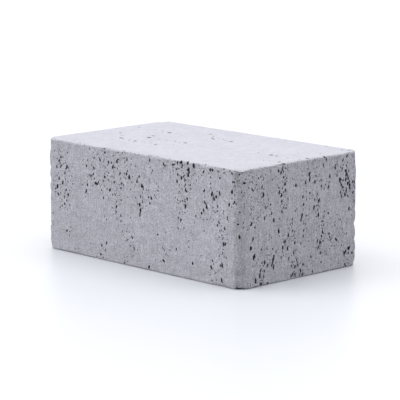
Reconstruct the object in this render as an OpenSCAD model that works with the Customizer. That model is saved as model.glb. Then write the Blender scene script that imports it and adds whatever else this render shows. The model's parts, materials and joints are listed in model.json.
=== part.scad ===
// Foam brick: a small rigid block sawn from mineral foam, held in the hand.
// It is one solid piece. It lies on a broad face, with the origin under its middle:
// X runs along its length, Y across its width, and Z up through its thickness.

/* [Block] */
// Length of the block
block_length = 100; // [70:1:240]
// Width of the block, across the broad faces
block_width = 60; // [45:1:120]
// Thickness of the block, from one broad face to the other
block_height = 41; // [28:1:90]

/* [Edges] */
// Plan radius of the four upright corners
corner_radius = 4; // [3:0.5:10]
// Radius of the worn edge around each broad face
edge_radius = 0.8; // [0.3:0.1:1.5]

/* [Open cells] */
// Smallest radius of an open cell
cell_radius_min = 0.6; // [0.4:0.1:0.8]
// Largest radius of an open cell
cell_radius_max = 1.5; // [1:0.1:1.8]
// Spacing of the cells on the upright faces
side_pitch = 6; // [5:0.5:12]
// Spacing of the cells on the broad faces
broad_pitch = 11; // [8:0.5:20]
// Share of the places on a long side that hold a cell
side_share = 0.7; // [0.1:0.05:1]
// Share of the places on an end that hold a cell
end_share = 0.9; // [0.1:0.05:1]
// Share of the places on a broad face that hold a cell
broad_share = 0.75; // [0.1:0.05:1]
// Radius of the smooth patch in the middle of each broad face
smooth_patch = 6; // [3:0.5:12]

/* [Hidden] */
$fn = 48;

// Least wall between two cells, and between a cell and an edge
cell_wall = 0.6;
// Random values that one place on a face uses: kept or not, radius, two shifts, depth
draws = 5;
// How far a cell's centre lies under its face, as a share of its radius
depth_low = -0.35;
depth_high = 0.45;
// Corner centres of the plan
corner_x = block_length / 2 - corner_radius;
corner_y = block_width / 2 - corner_radius;
// Sizes of the flat parts of the faces that may hold cells
flat_length = 2 * (corner_x - cell_radius_max - cell_wall);
flat_width = 2 * (corner_y - cell_radius_max - cell_wall);
flat_height = block_height - 2 * (edge_radius + cell_radius_max + cell_wall);

// A value between low and high, by a share from 0 to 1
function between(low, high, share) = low + (high - low) * share;

// Open cells on a face of this size, as [along, across, depth, radius] about its middle.
// Each place of an even grid may hold one, shifted at random as far as its neighbours allow.
function cells(length, width, pitch, share, patch, seed) =
    let (
        columns = floor(length / pitch),
        rows = floor(width / pitch),
        chance = rands(0, 1, columns * rows * draws, seed)
    )
    [
        for (column = [0 : columns - 1], row = [0 : rows - 1])
            let (
                first = draws * (column * rows + row),
                radius = between(cell_radius_min, cell_radius_max, pow(chance[first + 1], 2)),
                slack = (pitch - cell_wall) / 2 - radius,
                along = (column + 0.5 - columns / 2) * pitch + between(-slack, slack, chance[first + 2]),
                across = (row + 0.5 - rows / 2) * pitch + between(-slack, slack, chance[first + 3]),
                depth = radius * between(depth_low, depth_high, chance[first + 4])
            )
            if (chance[first] < share && norm([along, across]) > patch + radius)
                [along, across, depth, radius]
    ];

// Upright section of the block: a rectangle with its four corners rounded by the worn edge
module section(width) {
    rim_x = width / 2 - edge_radius;
    rim_y = block_height / 2 - edge_radius;
    union() {
        square([width, 2 * rim_y], center = true);
        square([2 * rim_x, block_height], center = true);
        for (x = [-rim_x, rim_x], y = [-rim_y, rim_y])
            translate([x, y])
                circle(r = edge_radius);
    }
}

// One upright corner: half of a narrow section, turned about the corner's own centre
module corner_post() {
    rotate_extrude()
        intersection() {
            section(2 * corner_radius);
            translate([0, -block_height / 2])
                square([corner_radius, block_height]);
        }
}

// The sawn block with rounded corners and worn edges, centred on the origin
module sawn_block() {
    union() {
        rotate([90, 0, 90])
            linear_extrude(height = 2 * corner_x, center = true)
                section(block_width);
        rotate([90, 0, 0])
            linear_extrude(height = 2 * corner_y, center = true)
                section(block_length);
        for (x = [-corner_x, corner_x], y = [-corner_y, corner_y])
            translate([x, y, 0])
                corner_post();
    }
}

// The cells of one face, in a plane whose outward normal is +Z
module open_cells(places) {
    for (place = places)
        translate([place[0], place[1], -place[2]])
            sphere(r = place[3]);
}

// The whole brick: the sawn block, with its cells opened on all six faces
module foam_block() {
    color([0.72, 0.72, 0.77])
        translate([0, 0, block_height / 2])
            difference() {
                sawn_block();
                for (end = [0, 1]) {
                    rotate([180 * end, 0, 0])
                        translate([0, 0, block_height / 2])
                            open_cells(cells(flat_length, flat_width, broad_pitch,
                                             broad_share, smooth_patch, 11 + end));
                    rotate([90, 0, 180 * end])
                        translate([0, 0, block_width / 2])
                            open_cells(cells(flat_length, flat_height, side_pitch,
                                             side_share, 0, 21 + end));
                    rotate([90, 0, 90 + 180 * end])
                        translate([0, 0, block_length / 2])
                            open_cells(cells(flat_width, flat_height, side_pitch,
                                             end_share, 0, 31 + end));
                }
            }
}

foam_block();
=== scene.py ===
"""Foam brick: a hand block sawn from rigid mineral foam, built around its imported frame.

The brick is one piece. It is sawn to size, worn along its edges, opened cell by cell and
then given its finish. Lengths are in metres, and names that end in _mm are in millimetres.
"""

import json
import logging
import math
import random
from dataclasses import dataclass, field
from enum import Enum
from typing import Any, Callable, Iterator

import bmesh
import bpy
import numpy as np
from mathutils import Matrix, Vector, noise
from mathutils.bvhtree import BVHTree

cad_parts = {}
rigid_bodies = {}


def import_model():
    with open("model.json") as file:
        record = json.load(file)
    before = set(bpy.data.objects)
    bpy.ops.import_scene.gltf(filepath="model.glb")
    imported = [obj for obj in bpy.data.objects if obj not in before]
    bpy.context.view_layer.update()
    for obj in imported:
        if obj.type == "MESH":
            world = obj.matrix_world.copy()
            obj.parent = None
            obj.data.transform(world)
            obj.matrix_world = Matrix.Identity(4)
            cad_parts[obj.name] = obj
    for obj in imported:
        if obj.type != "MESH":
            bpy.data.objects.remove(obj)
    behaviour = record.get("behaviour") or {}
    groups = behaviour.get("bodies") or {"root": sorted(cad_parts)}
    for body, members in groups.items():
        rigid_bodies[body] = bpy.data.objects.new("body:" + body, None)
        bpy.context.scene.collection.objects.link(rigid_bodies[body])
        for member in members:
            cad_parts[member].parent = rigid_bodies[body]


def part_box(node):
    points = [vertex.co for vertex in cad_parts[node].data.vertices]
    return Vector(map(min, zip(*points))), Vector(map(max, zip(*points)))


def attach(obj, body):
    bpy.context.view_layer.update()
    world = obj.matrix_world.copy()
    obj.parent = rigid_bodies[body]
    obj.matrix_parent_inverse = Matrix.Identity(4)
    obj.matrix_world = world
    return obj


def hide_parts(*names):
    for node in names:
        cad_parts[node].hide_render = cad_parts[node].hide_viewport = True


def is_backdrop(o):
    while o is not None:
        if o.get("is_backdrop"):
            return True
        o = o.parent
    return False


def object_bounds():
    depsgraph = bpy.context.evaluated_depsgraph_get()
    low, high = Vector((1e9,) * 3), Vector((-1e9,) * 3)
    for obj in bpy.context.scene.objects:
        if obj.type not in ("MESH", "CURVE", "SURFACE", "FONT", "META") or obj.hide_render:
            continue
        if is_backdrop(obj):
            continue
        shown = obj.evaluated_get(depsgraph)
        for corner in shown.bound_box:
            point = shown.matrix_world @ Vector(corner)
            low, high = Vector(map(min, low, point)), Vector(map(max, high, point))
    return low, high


LOG = logging.getLogger("foam_brick")
NODE = "foam_block"
BODY = "root"
MM = 0.001
# What each point of the brick remembers, as attributes that its finish reads
MARKS = ("depth_mm", "sawn", "wear", "hatch", "porous")
# Sockets of a Mix node that mixes numbers, and of one that mixes colours: they share names
FADE_A, FADE_B, FADE_RESULT = 2, 3, 0
MIX_A, MIX_B, MIX_RESULT = 6, 7, 2

# The two ends of a range: what a measure is drawn from, or what something fades between
Span = tuple[float, float]
# Measures along three directions
Size = tuple[float, float, float]
Tree = bpy.types.NodeTree
Socket = bpy.types.NodeSocket
Object = bpy.types.Object


def linear(code: str) -> tuple[float, float, float, float]:
    """Turns a colour into the linear one that shaders take.

    Args:
        code: An sRGB hex colour, such as "#A0A0AA".

    Returns:
        Linear red, green and blue, and an alpha of 1.
    """
    shares = [int(code[i : i + 2], 16) / 255 for i in (1, 3, 5)]
    parts = [s / 12.92 if s <= 0.04045 else ((s + 0.055) / 1.055) ** 2.4 for s in shares]
    return (parts[0], parts[1], parts[2], 1.0)


def add_node(
    tree: Tree, kind: str, inputs: dict[str | int, Any] | None = None, **settings: Any
) -> bpy.types.Node:
    """Adds a node with its settings, its constants and its links.

    Args:
        tree: The node tree that gets the node.
        kind: The node's type name.
        inputs: For each input socket, a constant or the output socket that feeds it.
        settings: The node's own properties.

    Returns:
        The new node.
    """
    node = tree.nodes.new(kind)
    for name, value in settings.items():
        setattr(node, name, value)
    for socket, value in (inputs or {}).items():
        if isinstance(value, Socket):
            tree.links.new(value, node.inputs[socket])
        else:
            node.inputs[socket].default_value = value
    return node


def deselect() -> None:
    """Leaves nothing selected, so that an operator acts on its own object only."""
    bpy.ops.object.select_all(action="DESELECT")


def make_active(piece: Object) -> None:
    """Selects one object alone and makes it the active one.

    Args:
        piece: The object.
    """
    deselect()
    piece.select_set(True)
    bpy.context.view_layer.objects.active = piece


def smooth_step(low: float, high: float, value: float) -> float:
    """Gives 0 at low, 1 at high and an S-curve between them. Low may be the greater."""
    share = min(1.0, max(0.0, (value - low) / (high - low)))
    return share * share * (3 - 2 * share)


def between(low: float, high: float, share: float) -> float:
    """Gives the value at a share of the way from low to high."""
    return low + (high - low) * share


def bumps(place: Vector, size: float, shift: Vector) -> float:
    """Gives an even noise around 0 with bumps of this size, in the same unit as the place."""
    return noise.noise(place / size + shift)


class Cut(Enum):
    """How a face of the block was made, which sets what its open cells look like."""

    BROAD = "ground broad face"
    SIDE = "sawn long side"
    END = "sawn end"


class Grade(Enum):
    """How finely a cell is modelled, by the least half length in millimetres that it is for.

    The bubble that cuts a wide cell has 80 faces, a small one's has 20 and a fine one's 10.
    """

    WIDE = 0.62
    SMALL = 0.32
    FINE = 0.0

    @classmethod
    def of(cls, half_length: float) -> "Grade":
        """Chooses the grade for a cell by half its greatest length across the face."""
        return next(grade for grade in cls if half_length > grade.value * MM)


@dataclass(frozen=True)
class Side:
    """One flat face of the block, with its own axes."""

    cut: Cut
    normal: Vector
    grain: Vector

    @property
    def across(self) -> Vector:
        """The direction in the face that crosses the grain."""
        return self.grain.cross(self.normal)


SIDES = tuple(
    Side(cut, Vector(axis) * sign, Vector(grain))
    for cut, axis, grain in (
        (Cut.BROAD, (0, 0, 1), (1, 0, 0)),
        (Cut.SIDE, (0, 1, 0), (0, 0, 1)),
        (Cut.END, (1, 0, 0), (0, 0, 1)),
    )
    for sign in (1, -1)
)


@dataclass(frozen=True)
class CellHabit:
    """How many open cells one kind of face has, and their sizes.

    Counts are for one face. A stretch is a cell's length along the grain over its width. The
    cells of a chain follow one another along the grain, gap_mm apart. Cells keep to patches
    of about patch_mm across and along the grain, and bareness says how few of them lie
    between the patches. Rise makes the patches wider towards the top.
    """

    chains: int
    chain_cells: tuple[int, int]
    gap_mm: Span
    strays: int
    fines: int
    gashes: int
    width_mm: Span
    stretch: Span
    patch_mm: Span
    bareness: float
    rise: float


@dataclass(frozen=True)
class Opening:
    """A cell as it is planned.

    The spot is across and along the grain from the middle of the face, and the size is the
    width, length and depth, all in millimetres. The lean is a turn in the face, in radians.
    """

    spot: Span
    size: Size
    lean: float = 0.0


@dataclass(frozen=True)
class Cell:
    """One open cell: where a bubble is cut out of the block, and how far it reaches."""

    place: Matrix
    centre: Vector
    reach: float
    grade: Grade


HABITS: dict[Cut, CellHabit] = {
    Cut.BROAD: CellHabit(
        chains=12, chain_cells=(2, 6), gap_mm=(0.3, 4.0), strays=18, fines=45, gashes=0,
        width_mm=(0.6, 1.6), stretch=(1.0, 1.8), patch_mm=(9, 40), bareness=0.9, rise=0.0,
    ),
    Cut.SIDE: CellHabit(
        chains=42, chain_cells=(2, 5), gap_mm=(0.2, 1.4), strays=370, fines=560, gashes=1,
        width_mm=(0.4, 1.1), stretch=(1.1, 2.1), patch_mm=(9, 12), bareness=0.96, rise=0.16,
    ),
    Cut.END: CellHabit(
        chains=52, chain_cells=(2, 5), gap_mm=(0.2, 1.3), strays=290, fines=380, gashes=3,
        width_mm=(0.42, 1.05), stretch=(1.2, 2.5), patch_mm=(6, 12), bareness=0.75, rise=0.04,
    ),
}


@dataclass(frozen=True)
class MineralFoam:
    """Foamed glass: glass blown with gas into a stiff, closed-cell foam, and then sawn.

    Sawing opens its cells, and leaves the skin between them dry, chalky and quite matt.
    The cut cells look almost black, because light is caught in them, and the finish paints
    that shade into their colour by depth. Their walls are glassier than the skin.
    """

    ground: str = "#9A9AA2"
    sawn: str = "#8C8C93"
    # Rubbed upright corners: partly wear, and partly painted shade that darkens the band round each
    # corner
    worn: str = "#828288"
    # Painted shade inside the open cells and tiny pores, near the skin and deep down
    cell_mouth_shade: str = "#55555C"
    cell_floor_shade: str = "#141418"
    skin_roughness: float = 0.93
    wall_roughness: float = 0.55
    # Glass, under a dust that mirrors little
    ior: float = 1.5
    specular: float = 0.3
    # Depths over which painted shade darkens a cell, first to a dark grey and then to near black
    mouth_shade_mm: Span = (0.02, 0.22)
    floor_shade_mm: Span = (0.12, 0.65)
    # Real sizes of the patterns
    cloud_mm: float = 11.0
    mottle_mm: float = 2.6
    # The real grit is about 0.05 mm, too fine to show, so it is drawn far coarser
    grit_mm: float = 0.5
    pore_mm: float = 1.0
    hatch_width_mm: float = 0.42
    hatch_length_mm: float = 7.0
    # What the patterns do to the brightness, all over and then on the sawn faces only
    cloud_shade: float = 0.025
    mottle_shade: float = 0.035
    grit_shade: float = 0.055
    grind_shade: float = 0.04
    sawn_mottle_shade: float = 0.04
    sawn_grit_shade: float = 0.17
    hatch_shade: float = 0.11
    # How dark the painted shade of the pores is, on bare skin and in the densest patches of cells
    painted_pore_shade: Span = (0.15, 0.80)
    # Depth of the relief, and the shares of grit, mottle, saw marks and pores in it
    relief_mm: float = 0.14
    relief_strength: float = 0.8
    relief_shares: tuple[float, ...] = (0.6, 0.4, 0.7, -0.8)

    def material(self) -> bpy.types.Material:
        """Makes the finish.

        Returns:
            A material that reads Object coordinates and the attributes in MARKS.
        """
        material = bpy.data.materials.new("sawn_foamed_glass")
        material.use_nodes = True
        tree = material.node_tree
        tree.nodes.clear()
        place = add_node(tree, "ShaderNodeTexCoord").outputs["Object"]
        marks = {
            name: add_node(tree, "ShaderNodeAttribute", attribute_name=name).outputs["Fac"]
            for name in MARKS
        }
        skin, relief = self._skin(tree, place, marks)
        # Painted shade that darkens the cells with depth; the first ramp also makes their walls
        # glassier
        mouth_shade_and_gloss, floor = (
            add_node(
                tree,
                "ShaderNodeMapRange",
                {"Value": marks["depth_mm"], "From Min": shallow, "From Max": deep},
                interpolation_type="SMOOTHSTEP",
            ).outputs["Result"]
            for shallow, deep in (self.mouth_shade_mm, self.floor_shade_mm)
        )
        # The cells' painted shade, laid over the skin
        colour = self._coats(tree, skin, ((mouth_shade_and_gloss, self.cell_mouth_shade), (floor, self.cell_floor_shade)))
        inputs = {"Value": mouth_shade_and_gloss, "To Min": self.skin_roughness, "To Max": self.wall_roughness}
        roughness = add_node(tree, "ShaderNodeMapRange", inputs).outputs["Result"]
        depth = self.relief_mm * MM
        inputs = {"Height": relief, "Strength": self.relief_strength, "Distance": depth}
        bump = add_node(tree, "ShaderNodeBump", inputs).outputs["Normal"]
        inputs = {
            "Base Color": colour,
            "Roughness": roughness,
            "Normal": bump,
            "IOR": self.ior,
            "Specular IOR Level": self.specular,
        }
        shader = add_node(tree, "ShaderNodeBsdfPrincipled", inputs)
        add_node(tree, "ShaderNodeOutputMaterial", {"Surface": shader.outputs["BSDF"]})
        return material

    def _skin(self, tree: Tree, place: Socket, marks: dict[str, Socket]) -> tuple[Socket, Socket]:
        """Adds the skin between the cells: clouds, mottle, grit, tool marks and painted shade in
        tiny pores.

        Args:
            tree: The material's node tree.
            place: Coordinates in metres.
            marks: The block's attributes, by name.

        Returns:
            The skin's colour, and its relief from about 0 to 1.
        """
        cloud = self._noise(tree, place, (self.cloud_mm,) * 3, detail=3.0)
        mottle = self._noise(tree, place, (self.mottle_mm,) * 3, detail=4.0)
        grit = self._noise(tree, place, (self.grit_mm,) * 3, detail=2.0)
        upright = (self.hatch_width_mm, self.hatch_width_mm, self.hatch_length_mm)
        lengthways = (self.hatch_length_mm, self.hatch_width_mm, self.hatch_width_mm)
        saw_marks = self._noise(tree, place, upright, detail=3.0)
        grind_marks = self._noise(tree, place, lengthways, detail=3.0)
        pores = self._pores(tree, place)
        # Patterns that fade to their middle value, 0.5, off the sawn faces
        sawn_grit, sawn_mottle, hatching = (
            add_node(
                tree,
                "ShaderNodeMix",
                {0: marks[mask], FADE_A: 0.5, FADE_B: pattern},
                data_type="FLOAT",
            ).outputs[FADE_RESULT]
            for pattern, mask in ((grit, "sawn"), (mottle, "sawn"), (saw_marks, "hatch"))
        )
        # The rubbed corners' colour is partly wear and partly painted shade
        coats = ((marks["sawn"], self.sawn), (marks["wear"], self.worn))
        skin = self._coats(tree, linear(self.ground), coats)
        shades = (
            (cloud, self.cloud_shade),
            (mottle, self.mottle_shade),
            (grit, self.grit_shade),
            (sawn_grit, self.sawn_grit_shade),
            (sawn_mottle, self.sawn_mottle_shade),
            (hatching, self.hatch_shade),
            (grind_marks, self.grind_shade),
        )
        skin = self._shaded(tree, skin, shades)
        # Painted shade in the tiny pores, darker where the skin is more porous
        light, dark = self.painted_pore_shade
        inputs = {"Value": marks["porous"], "To Min": light, "To Max": dark}
        painted_pore_darkness = add_node(tree, "ShaderNodeMapRange", inputs).outputs["Result"]
        inputs = {0: pores, 1: painted_pore_darkness}
        painted_pore_share = add_node(tree, "ShaderNodeMath", inputs, operation="MULTIPLY").outputs["Value"]
        relief: Any = 0.0
        reliefs = (grit, mottle, hatching, pores)
        for pattern, share in zip(reliefs, self.relief_shares, strict=True):
            inputs = {0: pattern, 1: share, 2: relief}
            total = add_node(tree, "ShaderNodeMath", inputs, operation="MULTIPLY_ADD")
            relief = total.outputs["Value"]
        # The pores get the cells' painted shade colour
        return self._coats(tree, skin, ((painted_pore_share, self.cell_mouth_shade),)), relief

    def _noise(self, tree: Tree, place: Socket, size_mm: Size, detail: float) -> Socket:
        """Adds a noise whose features have a real size along each axis.

        Args:
            tree: The material's node tree.
            place: Coordinates in metres.
            size_mm: Feature size along X, Y and Z.
            detail: How many finer octaves it has.

        Returns:
            The noise, from 0 to 1 with a middle of about 0.5.
        """
        # Shifted and, where it is the same all ways, turned, so that no face of the block lies
        # along the noise's own grid, where it would look regular
        even = len(set(size_mm)) == 1
        inputs = {
            "Vector": place,
            "Scale": [1 / (s * MM) for s in size_mm],
            "Rotation": (0.5, 0.7, 0.3) if even else (0, 0, 0),
            "Location": (0.37, 0.21, 0.43),
        }
        scaled = add_node(tree, "ShaderNodeMapping", inputs).outputs["Vector"]
        inputs = {"Vector": scaled, "Scale": 1.0, "Detail": detail, "Roughness": 0.55}
        return add_node(tree, "ShaderNodeTexNoise", inputs).outputs["Fac"]

    def _pores(self, tree: Tree, place: Socket) -> Socket:
        """Adds the cells that are too small to cut as holes, for their relief and their painted
        shade.

        Args:
            tree: The material's node tree.
            place: Coordinates in metres.

        Returns:
            A mask: 1 in a pore and 0 on the skin.
        """
        inputs = {"Vector": place, "Scale": 1 / (self.pore_mm * MM), "Randomness": 1.0}
        spots = add_node(tree, "ShaderNodeTexVoronoi", inputs).outputs
        chance = add_node(tree, "ShaderNodeSeparateColor", {"Color": spots["Color"]})
        # A third of the spots stay closed, and the others grow to a third of the spacing
        inputs = {"Value": chance.outputs["Red"], "From Min": 0.35, "From Max": 1.0}
        inputs |= {"To Min": 0.0, "To Max": 0.30}
        radius = add_node(tree, "ShaderNodeMapRange", inputs)
        inputs = {0: radius.outputs["Result"], 1: spots["Distance"]}
        inside = add_node(tree, "ShaderNodeMath", inputs, operation="SUBTRACT")
        inputs = {"Value": inside.outputs["Value"], "From Min": -0.04, "From Max": 0.06}
        mask = add_node(tree, "ShaderNodeMapRange", inputs, interpolation_type="SMOOTHSTEP")
        return mask.outputs["Result"]

    def _coats(self, tree: Tree, colour: Any, coats: tuple[tuple[Socket, str], ...]) -> Socket:
        """Lays coats of colour over one another.

        Args:
            tree: The material's node tree.
            colour: The colour beneath, a constant or a socket.
            coats: For each coat, how much it covers, from 0 to 1, and its sRGB hex colour.

        Returns:
            The colour that shows.
        """
        for share, coat in coats:
            inputs = {0: share, MIX_A: colour, MIX_B: linear(coat)}
            mixed = add_node(tree, "ShaderNodeMix", inputs, data_type="RGBA")
            colour = mixed.outputs[MIX_RESULT]
        return colour

    def _shaded(
        self, tree: Tree, colour: Socket, patterns: tuple[tuple[Socket, float], ...]
    ) -> Socket:
        """Lightens and darkens a colour by patterns from 0 to 1, which do nothing at 0.5.

        Args:
            tree: The material's node tree.
            colour: The colour to shade.
            patterns: Each pattern, with its change in brightness at its usual ends.

        Returns:
            The shaded colour.
        """
        for pattern, amount in patterns:
            ends = {"From Min": 0.35, "From Max": 0.65, "To Min": 1 - amount, "To Max": 1 + amount}
            factor = add_node(tree, "ShaderNodeMapRange", {"Value": pattern, **ends})
            inputs = {0: colour, "Scale": factor.outputs["Result"]}
            scaled = add_node(tree, "ShaderNodeVectorMath", inputs, operation="SCALE")
            colour = scaled.outputs["Vector"]
        return colour


@dataclass(frozen=True)
class WhiteBoard:
    """A white coated board: smooth and slightly glossy, so it mirrors its near surroundings."""

    colour: str = "#B9BBC1"
    roughness: float = 0.5
    ior: float = 1.5
    coat_roughness: float = 0.38

    def material(self) -> bpy.types.Material:
        """Makes the finish.

        Returns:
            A material of one colour under a clear coat.
        """
        material = bpy.data.materials.new("white_coated_board")
        material.use_nodes = True
        tree = material.node_tree
        tree.nodes.clear()
        inputs = {
            "Base Color": linear(self.colour),
            "Roughness": self.roughness,
            "IOR": self.ior,
            "Coat Weight": 1.0,
            "Coat Roughness": self.coat_roughness,
        }
        shader = add_node(tree, "ShaderNodeBsdfPrincipled", inputs)
        add_node(tree, "ShaderNodeOutputMaterial", {"Surface": shader.outputs["BSDF"]})
        return material


@dataclass(frozen=True)
class Wear:
    """How the sawn block is worn, before its cells are opened.

    The upright corners are chipped into a row of low bumps, their ends are knocked off,
    and the sides wave slightly from the saw. The broad faces are ground flat.
    """

    centre: Vector
    half: Vector
    corner_radius_mm: float
    # Greatest wear at each upright corner, by its signs along X and Y, and how much of it
    # comes from long swells and from small breaks
    corner_mm: dict[tuple[int, int], float] = field(
        default_factory=lambda: {(1, -1): 0.85, (1, 1): 0.3, (-1, -1): 0.35, (-1, 1): 0.5}
    )
    swells: float = 0.6
    breaks: float = 0.3
    swell_size_mm: float = 11.0
    break_size_mm: float = 1.7
    # Depth and spacing of the scallops that the saw left along the upright corners, and how
    # long their rows are and how far they drift, over the spacing
    scallop_mm: float = 0.6
    scallop_pitch_mm: float = 5.2
    scallop_row_mm: float = 12.0
    scallop_drift: float = 0.9
    drift_size_mm: float = 14.0
    # Greatest wear at the ends of an upright corner, how far it reaches, the size of its
    # chips, and how much of it the foot has
    tip_mm: float = 1.0
    tip_reach_mm: float = 5.0
    tip_chip_mm: float = 4.0
    foot: float = 0.4
    # Greatest wear on the sides, its wavelengths, and how far below the edges it fades out
    side_mm: float = 0.12
    side_wave_mm: Size = (16, 16, 5)
    side_fade_mm: Span = (1.5, 0.2)
    # Greatest wear around the broad faces, its size, and where it is, below their edges
    nibble_mm: float = 0.9
    nibble_size_mm: float = 2.6
    nibble_band_mm: Span = (1.2, 0.1)
    # Where a rubbed corner starts and where it is full, in corner radii from the edge: at
    # the crisp line on a long side, and where it fades out on an end
    crease: Span = (1.1, 0.53)
    fade: Span = (1.35, 0.3)
    crease_wander_mm: float = 1.3
    crease_pitch_mm: float = 2.5

    def cornering(self, place: Vector) -> float:
        """Gives how far a place is round an upright corner.

        Args:
            place: A point on the block.

        Returns:
            From 0 on a flat side to 1 on a rubbed corner.
        """
        radius = self.corner_radius_mm * MM
        x_left, y_left = (self.half[i] - abs(place[i] - self.centre[i]) for i in (0, 1))
        # The crisp line wanders a little, in its own way on each long side
        track = Vector((3, place.y / self.half.y, place.z / MM / self.crease_pitch_mm))
        x_left += self.crease_wander_mm * MM * noise.noise(track)
        along = smooth_step(radius * self.crease[0], radius * self.crease[1], x_left)
        over = smooth_step(radius * self.fade[0], radius * self.fade[1], y_left)
        return along * over

    def at(self, place: Vector) -> float:
        """Works out how much is worn off at a place.

        Args:
            place: A point on the block.

        Returns:
            Wear in millimetres, never below 0.
        """
        spot = (place - self.centre) / MM
        total = self._corner(spot) * self.cornering(place)
        total += self._side(spot)
        total += self._rim(spot)
        return max(0.0, total)

    def _corner(self, spot: Vector) -> float:
        """Works out the wear of the upright corner that is nearest to a place.

        Args:
            spot: The place, in millimetres from the block's middle.

        Returns:
            Wear in millimetres, where the corner is rubbed the most.
        """
        height = self.half.z / MM
        signs = (1 if spot.x > 0 else -1, 1 if spot.y > 0 else -1)
        # Each upright corner gets its own pattern, from its own place in the noise
        away = Vector((31 * signs[0], 57 * signs[1], 0))
        level = Vector((0, 0, spot.z))
        drift = self.scallop_drift * bumps(level, self.drift_size_mm, away)
        phase = spot.z / self.scallop_pitch_mm + drift
        # The scallops meet in sharp ridges, and come and go in rows
        scallops = (1 - abs(math.sin(math.pi * phase))) ** 1.5
        scallops *= smooth_step(-0.35, 0.3, bumps(level, self.scallop_row_mm, away * 2))
        swell = 0.5 + bumps(level, self.swell_size_mm, away)
        broken = 0.5 + 0.8 * bumps(spot, self.break_size_mm, away)
        tips = max(0.0, 0.35 + bumps(spot, self.tip_chip_mm, away * 3))
        tip = smooth_step(height - self.tip_reach_mm, height, abs(spot.z)) * tips
        tip *= 1.0 if spot.z > 0 else self.foot
        total = self.corner_mm[signs] * (self.swells * swell + self.breaks * broken)
        return total + (self.scallop_mm * scallops + self.tip_mm * tip)

    def _side(self, spot: Vector) -> float:
        """Works out the waves that the saw left on the upright faces.

        Args:
            spot: A place, in millimetres from the block's middle.

        Returns:
            Wear in millimetres.
        """
        height = self.half.z / MM
        low, high = (height - below for below in self.side_fade_mm)
        flat = 1 - smooth_step(low, high, abs(spot.z))
        wave = Vector([spot[i] / self.side_wave_mm[i] for i in range(3)])
        waves = 0.5 + 0.5 * noise.noise(wave + Vector((7, 3, 1)))
        return self.side_mm * waves * flat

    def _rim(self, spot: Vector) -> float:
        """Works out the crumbling of the edges around the broad faces.

        Args:
            spot: A place, in millimetres from the block's middle.

        Returns:
            Wear in millimetres.
        """
        height = self.half.z / MM
        start, end = (height - below for below in self.nibble_band_mm)
        rim = smooth_step(start, height, abs(spot.z)) * (1 - smooth_step(end, height, abs(spot.z)))
        nibbles = max(0.0, bumps(spot, self.nibble_size_mm, Vector((50, 0, 0))))
        return self.nibble_mm * nibbles * nibbles * rim


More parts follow.
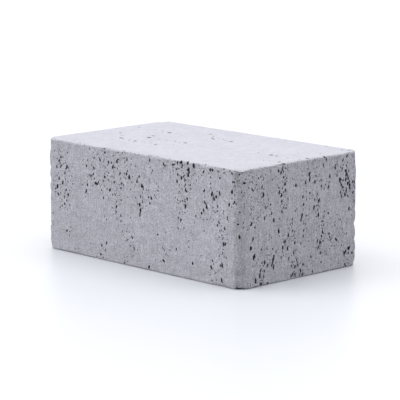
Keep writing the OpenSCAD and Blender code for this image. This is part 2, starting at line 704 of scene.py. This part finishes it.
@dataclass
class CellPlan:
    """Where the block's open cells are: on its six faces and along its twelve edges."""

    centre: Vector
    half: Vector
    # The worn, uncut surface
    skin: BVHTree
    draw: random.Random
    # Noise values between which the bare stretches turn into patches of cells
    patch_edge: Span = (0.22, -0.08)
    # Dust has filled most of the cells beside the edges that run along the grain: the share
    # that stays open there, and how far from the edge it starts to grow and is 1
    edge_share: float = 0.3
    edge_band_mm: Span = (1.5, 6.0)
    # Spread of the slope of a chain, of the steps aside in it, and of the lean of its cells
    chain_slope: float = 0.2
    chain_drift_mm: float = 0.35
    chain_lean: float = 0.2
    stray_lean: float = 0.25
    # A cell's depth over its width, its least depth, and how much commoner small widths and
    # short cells are
    depth_ratio: Span = (0.8, 1.7)
    least_depth_mm: float = 0.45
    width_power: float = 2.1
    stretch_power: float = 1.4
    fine_width_mm: Span = (0.3, 0.6)
    fine_stretch: Span = (1.0, 1.4)
    fine_depth_mm: Span = (0.5, 0.95)
    # A gash is a torn row of deep cells that run into one another, away from the edges
    gash_cells: int = 3
    gash_step_mm: Span = (0.7, 1.0)
    gash_width_mm: Span = (0.7, 1.1)
    gash_length_mm: Span = (1.3, 2.0)
    gash_depth_mm: Span = (1.6, 2.4)
    gash_lean: float = 0.3
    gash_margin_mm: float = 6.0
    # How far below the skin a cell's middle lies, over half its depth
    sunk: Span = (0.1, 0.5)
    # Spacing and radius of the cells that break the edges, how uneven they are, and how far
    # out of the edge their middles lie, over their radius
    rim_pitch_mm: float = 4.0
    corner_pitch_mm: float = 3.5
    nick_radius_mm: Span = (0.18, 0.48)
    nick_power: float = 3.0
    nick_stretch: Span = (0.8, 1.5)
    nick_out: Span = (-0.5, 0.35)
    nick_aside_mm: float = 1.0
    # How far off the block a search for its skin starts
    search_mm: float = 5.0
    # Reach of an uneven bubble, over its radius
    bulge: float = 1.15

    def cells(self) -> list[Cell]:
        """Lays out all the cells.

        Returns:
            The cells of the six faces, and then those along the edges.
        """
        cells = [cell for side in SIDES for cell in self._face(side)]
        return cells + list(self._nicks())

    def density(self, side: Side, across: float, along: float) -> float:
        """Gives how likely a cell is at a place on a face.

        Args:
            side: The face.
            across: Place across the grain, in millimetres.
            along: Place along the grain, in millimetres.

        Returns:
            The share of tried cells that stay, from 0 to 1.
        """
        habit = HABITS[side.cut]
        wide, tall = habit.patch_mm
        # Each face gets its own patches, from its own place in the noise
        place = Vector((across / wide, along / tall, 112)) + side.normal * 40
        patch = noise.noise(place) + habit.rise * along * MM / self.half.z
        share = 1 - habit.bareness * smooth_step(*self.patch_edge, patch)
        edge = abs(side.across.dot(self.half)) / MM - abs(across)
        return share * between(self.edge_share, 1.0, smooth_step(*self.edge_band_mm, edge))

    def _spot(self, side: Side, margin: float = 0.0) -> Span:
        """Draws a random place on a face, more often one in a patch of cells.

        Args:
            side: The face.
            margin: How far to stay away from its edges, in millimetres.

        Returns:
            The place across and along the grain, in millimetres.
        """
        wide = abs(side.across.dot(self.half)) / MM - margin
        tall = abs(side.grain.dot(self.half)) / MM - margin
        while True:
            across = self.draw.uniform(-wide, wide)
            along = self.draw.uniform(-tall, tall)
            if self.draw.random() < self.density(side, across, along):
                return across, along

    def _size(self, habit: CellHabit) -> Size:
        """Draws a cell's measures. Small ones are commoner.

        Args:
            habit: The habit of the face.

        Returns:
            Width, length and depth, in millimetres.
        """
        width = between(*habit.width_mm, self.draw.random() ** self.width_power)
        length = width * between(*habit.stretch, self.draw.random() ** self.stretch_power)
        depth = max(self.least_depth_mm, width * self.draw.uniform(*self.depth_ratio))
        return width, length, depth

    def _face(self, side: Side) -> Iterator[Cell]:
        """Lays out the open cells of one face.

        Args:
            side: The face.

        Yields:
            Its chains of cells, its stray cells, its fine ones and its gashes.
        """
        habit = HABITS[side.cut]
        plans: list[Opening] = []
        for _ in range(habit.chains):
            plans += self._chain(side)
        for _ in range(habit.strays):
            spot, size = self._spot(side), self._size(habit)
            plans.append(Opening(spot, size, self.draw.gauss(0, self.stray_lean)))
        for _ in range(habit.fines):
            width = self.draw.uniform(*self.fine_width_mm)
            length = width * self.draw.uniform(*self.fine_stretch)
            spot, depth = self._spot(side), self.draw.uniform(*self.fine_depth_mm)
            plans.append(Opening(spot, (width, length, depth)))
        for _ in range(habit.gashes):
            plans += self._gash(side)
        for plan in plans:
            cell = self._place(side, plan)
            if cell is not None:
                yield cell

    def _chain(self, side: Side) -> Iterator[Opening]:
        """Plans a chain: cells that follow one another along the grain.

        Args:
            side: The face.

        Yields:
            Its cells.
        """
        habit = HABITS[side.cut]
        draw = self.draw
        across, along = self._spot(side)
        slope = draw.gauss(0, self.chain_slope)
        for _ in range(draw.randint(*habit.chain_cells)):
            size = self._size(habit)
            yield Opening((across, along + size[1] / 2), size, draw.gauss(0, self.chain_lean))
            step = size[1] + draw.uniform(*habit.gap_mm)
            along += step
            across += slope * step + draw.gauss(0, self.chain_drift_mm)

    def _gash(self, side: Side) -> Iterator[Opening]:
        """Plans a gash: a few deep cells that run into one another.

        Args:
            side: The face.

        Yields:
            Its cells.
        """
        draw = self.draw
        across, along = self._spot(side, self.gash_margin_mm)
        lean = draw.gauss(0, self.gash_lean)
        for part in range(self.gash_cells):
            shift = (part - self.gash_cells // 2) * draw.uniform(*self.gash_step_mm)
            spot = (across - math.sin(lean) * shift, along + math.cos(lean) * shift)
            width = draw.uniform(*self.gash_width_mm)
            length = draw.uniform(*self.gash_length_mm)
            yield Opening(spot, (width, length, draw.uniform(*self.gash_depth_mm)), lean)

    def _place(self, side: Side, plan: Opening) -> Cell | None:
        """Places one planned cell in the skin of a face.

        Args:
            side: The face.
            plan: The cell as planned.

        Returns:
            The cell, or None where the face has ended.
        """
        outside = side.normal * (abs(side.normal.dot(self.half)) + self.search_mm * MM)
        spot = (side.across * plan.spot[0] + side.grain * plan.spot[1]) * MM
        hit, normal, _, _ = self.skin.ray_cast(self.centre + outside + spot, -side.normal)
        if hit is None:
            return None
        width, length, depth = (s * MM / 2 for s in plan.size)
        grain = (side.grain - normal * side.grain.dot(normal)).normalized()
        turn = Matrix((grain.cross(normal), grain, normal)).transposed()
        middle = hit - normal * depth * self.draw.uniform(*self.sunk)
        place = (
            Matrix.Translation(middle)
            @ turn.to_4x4()
            @ Matrix.Rotation(plan.lean, 4, "Z")
            @ Matrix.Diagonal((width, length, depth, 1))
        )
        reach = max(width, length, depth) * self.bulge
        return Cell(place, middle, reach, Grade.of(max(width, length)))

    def _nicks(self) -> Iterator[Cell]:
        """Lays out the cells that break the block's twelve edges.

        Yields:
            The cells along the edges around both broad faces, and along the upright corners.
        """
        axes = [Vector([float(i == axis) for i in range(3)]) for axis in range(3)]
        for run, one, other in ((0, 1, 2), (1, 0, 2), (2, 0, 1)):
            pitch = self.corner_pitch_mm if run == 2 else self.rim_pitch_mm
            count = round(2 * self.half[run] / MM / pitch)
            for sign, flip in ((1, 1), (1, -1), (-1, 1), (-1, -1)):
                arms = (axes[one] * sign, axes[other] * flip)
                edge = self.centre + (arms[0] * self.half[one] + arms[1] * self.half[other])
                for _ in range(count):
                    along = axes[run] * self.draw.uniform(-self.half[run], self.half[run])
                    cell = self._nick(edge + along, arms)
                    if cell is not None:
                        yield cell

    def _nick(self, start: Vector, arms: tuple[Vector, Vector]) -> Cell | None:
        """Places one cell that breaks an edge.

        Args:
            start: A place on the edge, before it was rounded.
            arms: The outward normals of the two faces that meet there.

        Returns:
            The cell, or None where the skin is missed.
        """
        draw = self.draw
        outward = (arms[0] + arms[1]).normalized()
        aside = (arms[0] - arms[1]) * draw.uniform(-self.nick_aside_mm, self.nick_aside_mm)
        start = start + (outward * self.search_mm + aside) * MM
        hit, _, _, _ = self.skin.ray_cast(start, -outward)
        if hit is None:
            return None
        radius = between(*self.nick_radius_mm, draw.random() ** self.nick_power) * MM
        sizes = [radius * draw.uniform(*self.nick_stretch) for _ in range(3)]
        middle = hit + outward * radius * draw.uniform(*self.nick_out)
        place = Matrix.Translation(middle) @ Matrix.Diagonal((*sizes, 1))
        return Cell(place, middle, max(sizes) * self.bulge, Grade.of(radius))


@dataclass
class CellCutter:
    """Opens the cells: it cuts copies of a few uneven bubbles out of the block."""

    block: Object
    draw: random.Random
    variants: int = 6
    # How far a bubble's points stray from an even shape, over its radius
    unevenness: float = 0.2
    # Size of the boxes that cells are sorted into, to find their neighbours. Only the very
    # largest cells reach past the next box
    box_mm: float = 2.5

    def open(self, cells: list[Cell]) -> None:
        """Cuts all the cells out of the block.

        Args:
            cells: The cells.
        """
        layers = self._layers(cells)
        LOG.info("cells %d in %d layers", len(cells), len(layers))
        bubbles = {grade: self._bubbles(grade) for grade in Grade}
        for layer in layers:
            self._cut(layer, bubbles)
        for shape in sum(bubbles.values(), []):
            bpy.data.objects.remove(shape)

    def _layers(self, cells: list[Cell]) -> list[list[Cell]]:
        """Sorts the cells into layers in which no two touch, so that each cuts cleanly.

        Args:
            cells: All the cells.

        Returns:
            The layers, each a list of cells.
        """
        size = self.box_mm * MM
        layers: list[list[Cell]] = []
        # For each layer, its cells by the box that they are in
        maps: list[dict[tuple[int, ...], list[Cell]]] = []
        steps = [(i, j, k) for i in (-1, 0, 1) for j in (-1, 0, 1) for k in (-1, 0, 1)]
        for cell in cells:
            home = tuple(math.floor(c / size) for c in cell.centre)
            near = [tuple(h + s for h, s in zip(home, step, strict=True)) for step in steps]
            for layer, boxes in zip(layers, maps, strict=True):
                if all(
                    (other.centre - cell.centre).length > other.reach + cell.reach
                    for box in near
                    for other in boxes.get(box, ())
                ):
                    break
            else:
                layer, boxes = [], {}
                layers.append(layer)
                maps.append(boxes)
            layer.append(cell)
            boxes.setdefault(home, []).append(cell)
        return layers

    def _bubbles(self, grade: Grade) -> list[Object]:
        """Models the few uneven bubbles that all cells of one grade are copies of.

        Args:
            grade: How finely they are modelled.

        Returns:
            The bubbles, each with a radius of about 1. All their faces are triangles.
        """
        shapes = []
        for variant in range(self.variants):
            deselect()
            if grade is Grade.FINE:
                bpy.ops.mesh.primitive_cone_add(vertices=5, radius1=1, depth=1)
            else:
                finer = 2 if grade is Grade.WIDE else 1
                bpy.ops.mesh.primitive_ico_sphere_add(subdivisions=finer, radius=1)
            shape = bpy.context.object
            shape.name = f"bubble_{grade.name.lower()}_{variant}"
            bpy.ops.object.mode_set(mode="EDIT")
            if grade is Grade.FINE:
                # A second point below the cone's base makes it a bubble with ten faces
                bpy.ops.mesh.select_all(action="DESELECT")
                bpy.ops.mesh.select_face_by_sides(number=5, type="EQUAL")
                bpy.ops.mesh.poke(offset=1)
                bpy.ops.mesh.select_all(action="SELECT")
                bpy.ops.transform.translate(value=(0, 0, 0.5))
            bpy.ops.transform.vertex_random(
                offset=self.unevenness, uniform=0.5, normal=0.5, seed=variant + 1
            )
            bpy.ops.object.mode_set(mode="OBJECT")
            shapes.append(shape)
        return shapes

    def _cut(self, layer: list[Cell], bubbles: dict[Grade, list[Object]]) -> None:
        """Cuts one layer of cells out of the block.

        Args:
            layer: Cells that don't touch each other.
            bubbles: The shapes that the cells are copies of, by grade.
        """
        points, faces, count = [], [], 0
        for cell in layer:
            shape = self.draw.choice(bubbles[cell.grade]).data
            spots = np.array([v.co for v in shape.vertices])
            place = np.array(cell.place)
            points.append(spots @ place[:3, :3].T + place[:3, 3])
            faces.append(np.array([tuple(f.vertices) for f in shape.polygons]) + count)
            count += len(spots)
        mesh = bpy.data.meshes.new("cell_cutter")
        mesh.from_pydata(np.concatenate(points), [], np.concatenate(faces).tolist())
        cutter = bpy.data.objects.new("cell_cutter", mesh)
        bpy.context.scene.collection.objects.link(cutter)
        make_active(self.block)
        modifier = self.block.modifiers.new("cells", "BOOLEAN")
        modifier.operation = "DIFFERENCE"
        modifier.solver = "MANIFOLD"
        modifier.object = cutter
        bpy.ops.object.modifier_apply(modifier=modifier.name)
        bpy.data.objects.remove(cutter)
        bpy.data.meshes.remove(mesh)


@dataclass
class FoamBlock:
    """The brick itself.

    It is sawn as a box with rounded upright corners, cut into a fine grid, worn by moving the
    grid's points inwards, and then its cells are cut out.
    """

    low: Vector
    high: Vector
    finish: MineralFoam = field(default_factory=MineralFoam)
    corner_radius_mm: float = 3.2
    corner_steps: int = 7
    edge_radius_mm: float = 0.7
    edge_steps: int = 3
    grid_mm: Size = (2.5, 2.5, 1.0)
    # Upward parts of a normal between which sawn skin turns into ground skin
    sawn_limits: Span = (0.6, 0.95)
    # Saw marks on a long side over those on an end, and pores in ground skin over those in
    # sawn skin
    side_hatch: float = 0.75
    ground_pores: float = 0.15
    # Creases sharper than this stay sharp
    smooth_degrees: float = 32.0
    seed: int = 5

    def __post_init__(self) -> None:
        """Works out the block's middle, its half sizes and its wear."""
        self.centre = (self.low + self.high) / 2
        self.half = (self.high - self.low) / 2
        self.wear = Wear(self.centre, self.half, self.corner_radius_mm)

    def build(self) -> Object:
        """Builds the whole brick.

        Returns:
            The finished piece, in its place.
        """
        self._saw()
        self._grid()
        self._rub()
        draw = random.Random(self.seed)
        plan = CellPlan(self.centre, self.half, self._surface(), draw)
        CellCutter(self.block, draw).open(plan.cells())
        self._sweep()
        self._mark(plan)
        self._dress()
        return self.block

    def _saw(self) -> None:
        """Saws the plain block, rounds its upright corners and breaks its other edges."""
        deselect()
        bpy.ops.mesh.primitive_cube_add(size=1, location=self.centre, scale=self.half * 2)
        self.block = bpy.context.object
        self.block.name = self.block.data.name = "foam_block_cut"
        bpy.ops.object.transform_apply(location=True, rotation=True, scale=True)
        bpy.ops.object.mode_set(mode="EDIT")
        bpy.ops.mesh.select_mode(type="EDGE")
        self._select_edges(lambda a, b: abs(a.z - b.z) > self.half.z)
        bpy.ops.mesh.bevel(
            offset=self.corner_radius_mm * MM, segments=self.corner_steps, affect="EDGES"
        )
        # The edges around the broad faces are the level ones at the very top and bottom
        self._select_edges(
            lambda a, b: abs(a.z - b.z) < 1e-6 and abs(a.z - self.centre.z) > self.half.z * 0.99
        )
        bpy.ops.mesh.bevel(
            offset=self.edge_radius_mm * MM, segments=self.edge_steps, affect="EDGES"
        )
        bpy.ops.object.mode_set(mode="OBJECT")

    def _select_edges(self, wanted: Callable[[Vector, Vector], bool]) -> None:
        """Selects some edges and no others, in edit mode.

        Args:
            wanted: A test on an edge's two ends.
        """
        bpy.ops.mesh.select_all(action="DESELECT")
        shape = bmesh.from_edit_mesh(self.block.data)
        for edge in shape.edges:
            edge.select_set(wanted(edge.verts[0].co, edge.verts[1].co))
        bmesh.update_edit_mesh(self.block.data)

    def _grid(self) -> None:
        """Cuts the block's faces into an even grid, so that they can be worn."""
        bpy.ops.object.mode_set(mode="EDIT")
        for axis, step in enumerate(self.grid_mm):
            normal = Vector([float(i == axis) for i in range(3)])
            rows = round(2 * self.half[axis] / MM / step)
            for row in range(1, rows):
                place = self.centre + normal * self.half[axis] * (2 * row / rows - 1)
                bpy.ops.mesh.select_all(action="SELECT")
                bpy.ops.mesh.bisect(plane_co=place, plane_no=normal)
        bpy.ops.object.mode_set(mode="OBJECT")

    def _rub(self) -> None:
        """Moves each point of the block inwards by the wear at its place."""
        mesh = self.block.data
        worn = [v.co - v.normal * (self.wear.at(v.co) * MM) for v in mesh.vertices]
        mesh.vertices.foreach_set("co", np.array(worn, np.float32).ravel())
        mesh.update()

    def _surface(self) -> BVHTree:
        """Makes a search tree of the worn surface.

        Returns:
            The search tree, which keeps the surface as it is before its cells are cut.
        """
        mesh = self.block.data
        places = [v.co.copy() for v in mesh.vertices]
        return BVHTree.FromPolygons(places, [tuple(p.vertices) for p in mesh.polygons])

    def _sweep(self) -> None:
        """Sweeps away the crumbs that neighbouring cells cut loose, and keeps the brick."""
        make_active(self.block)
        bpy.ops.object.mode_set(mode="EDIT")
        bpy.ops.mesh.select_mode(type="FACE")
        bpy.ops.mesh.select_all(action="DESELECT")
        shape = bmesh.from_edit_mesh(self.block.data)
        max(shape.faces, key=lambda face: face.calc_area()).select_set(True)
        bmesh.update_edit_mesh(self.block.data)
        bpy.ops.mesh.select_linked()
        bpy.ops.mesh.select_all(action="INVERT")
        bpy.ops.mesh.delete(type="VERT")
        bpy.ops.object.mode_set(mode="OBJECT")

    def _mark(self, plan: CellPlan) -> None:
        """Writes the attributes in MARKS on each point of the block.

        They are its depth below the skin, and four shares from 0 to 1: how upright, and so
        sawn, the skin is there, how rubbed, how hatched with saw marks and how porous.

        Args:
            plan: Where its cells are.
        """
        mesh = self.block.data
        marks: dict[str, list[float]] = {name: [] for name in MARKS}
        for point in mesh.vertices:
            hit, normal, _, distance = plan.skin.find_nearest(point.co)
            upright = 1 - smooth_step(*self.sawn_limits, abs(normal.z))
            side = max(SIDES, key=lambda s: s.normal.dot(normal))
            across, along = ((hit - self.centre).dot(a) / MM for a in (side.across, side.grain))
            corner = self.wear.cornering(hit)
            crowded = max(corner / 2, plan.density(side, across, along))
            marks["depth_mm"].append(distance / MM)
            marks["sawn"].append(upright)
            # This share also paints shade on the rubbed corners, as well as their wear colour
            marks["wear"].append(corner * upright)
            marks["hatch"].append(upright * between(self.side_hatch, 1.0, abs(normal.x)))
            marks["porous"].append(between(self.ground_pores, 1.0, upright) * crowded)
        for name, values in marks.items():
            attribute = mesh.attributes.new(name, "FLOAT", "POINT")
            attribute.data.foreach_set("value", values)

    def _dress(self) -> None:
        """Gives the block its finish, smooth shading and its place in the frame."""
        self.block.data.materials.clear()
        self.block.data.materials.append(self.finish.material())
        make_active(self.block)
        bpy.ops.object.shade_smooth_by_angle(angle=math.radians(self.smooth_degrees))
        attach(self.block, BODY)
        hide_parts(NODE)


@dataclass
class Studio:
    """A white table-top studio: floor, lights, surroundings and camera.

    The camera has a long lens, and stands low down and half a right angle round the brick.
    """

    target: Vector
    azimuth_degrees: float = 45.7
    elevation_degrees: float = 10.6
    distance: float = 0.76
    lens_mm: float = 190.0
    floor_size: float = 30.0
    board: WhiteBoard = field(default_factory=WhiteBoard)

    def build(self) -> None:
        """Sets up the whole studio."""
        self._floor()
        self._surroundings()
        self._light("overhead", (0.0, 0.0, 1.0), spread=70, strength=2.6)
        self._light("left", (-0.9, -0.75, 0.6), spread=60, strength=2.0)
        self._light("right", (0.8, 0.9, 0.6), spread=60, strength=0.5)
        self._camera()

    def _floor(self) -> None:
        """Lays the board that the brick lies on."""
        deselect()
        bpy.ops.mesh.primitive_plane_add(size=self.floor_size, location=(0, 0, 0))
        floor = bpy.context.object
        floor.name = "floor_board"
        floor.data.materials.append(self.board.material())
        floor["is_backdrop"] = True

    def _surroundings(self) -> None:
        """Makes the studio's walls an even white."""
        world = bpy.data.worlds.new("white_studio")
        world.use_nodes = True
        tree = world.node_tree
        tree.nodes.clear()
        white = add_node(tree, "ShaderNodeBackground", {"Color": (1, 1, 1, 1), "Strength": 1.0})
        add_node(tree, "ShaderNodeOutputWorld", {"Surface": white.outputs["Background"]})
        bpy.context.scene.world = world
        bpy.context.scene.view_settings.view_transform = "Standard"

    def _light(self, name: str, source: Size, spread: float, strength: float) -> None:
        """Adds one large, even light from far away, as from a wide soft box.

        Args:
            name: The light's name.
            source: The direction that it comes from.
            spread: How wide it looks from the brick, in degrees.
            strength: Its light on a surface that faces it, in watts per square metre.
        """
        data = bpy.data.lights.new(name, "SUN")
        data.angle = math.radians(spread)
        data.energy = strength
        light = bpy.data.objects.new(name, data)
        light.rotation_euler = (-Vector(source)).to_track_quat("-Z", "Y").to_euler()
        bpy.context.scene.collection.objects.link(light)

    def _camera(self) -> None:
        """Sets up the camera and points it at the target."""
        turn = math.radians(self.azimuth_degrees)
        rise = math.radians(self.elevation_degrees)
        level = math.cos(rise)
        back = Vector((math.sin(turn) * level, -math.cos(turn) * level, math.sin(rise)))
        data = bpy.data.cameras.new("camera")
        data.lens = self.lens_mm
        camera = bpy.data.objects.new("camera", data)
        camera.location = self.target + back * self.distance
        camera.rotation_euler = (-back).to_track_quat("-Z", "Y").to_euler()
        bpy.context.scene.collection.objects.link(camera)
        bpy.context.scene.camera = camera


def main() -> None:
    """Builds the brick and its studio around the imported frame."""
    logging.basicConfig(level=logging.INFO, format="%(name)s: %(message)s")
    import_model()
    cad_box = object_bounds()
    low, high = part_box(NODE)
    block = FoamBlock(low, high).build()
    triangles = sum(len(face.vertices) - 2 for face in block.data.polygons)
    LOG.info("piece %s: %d triangles", block.name, triangles)
    Studio((low + high) / 2).build()
    seen_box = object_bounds()
    [[list(corner) for corner in box] for box in (cad_box, seen_box)]


if __name__ == "__main__":
    main()
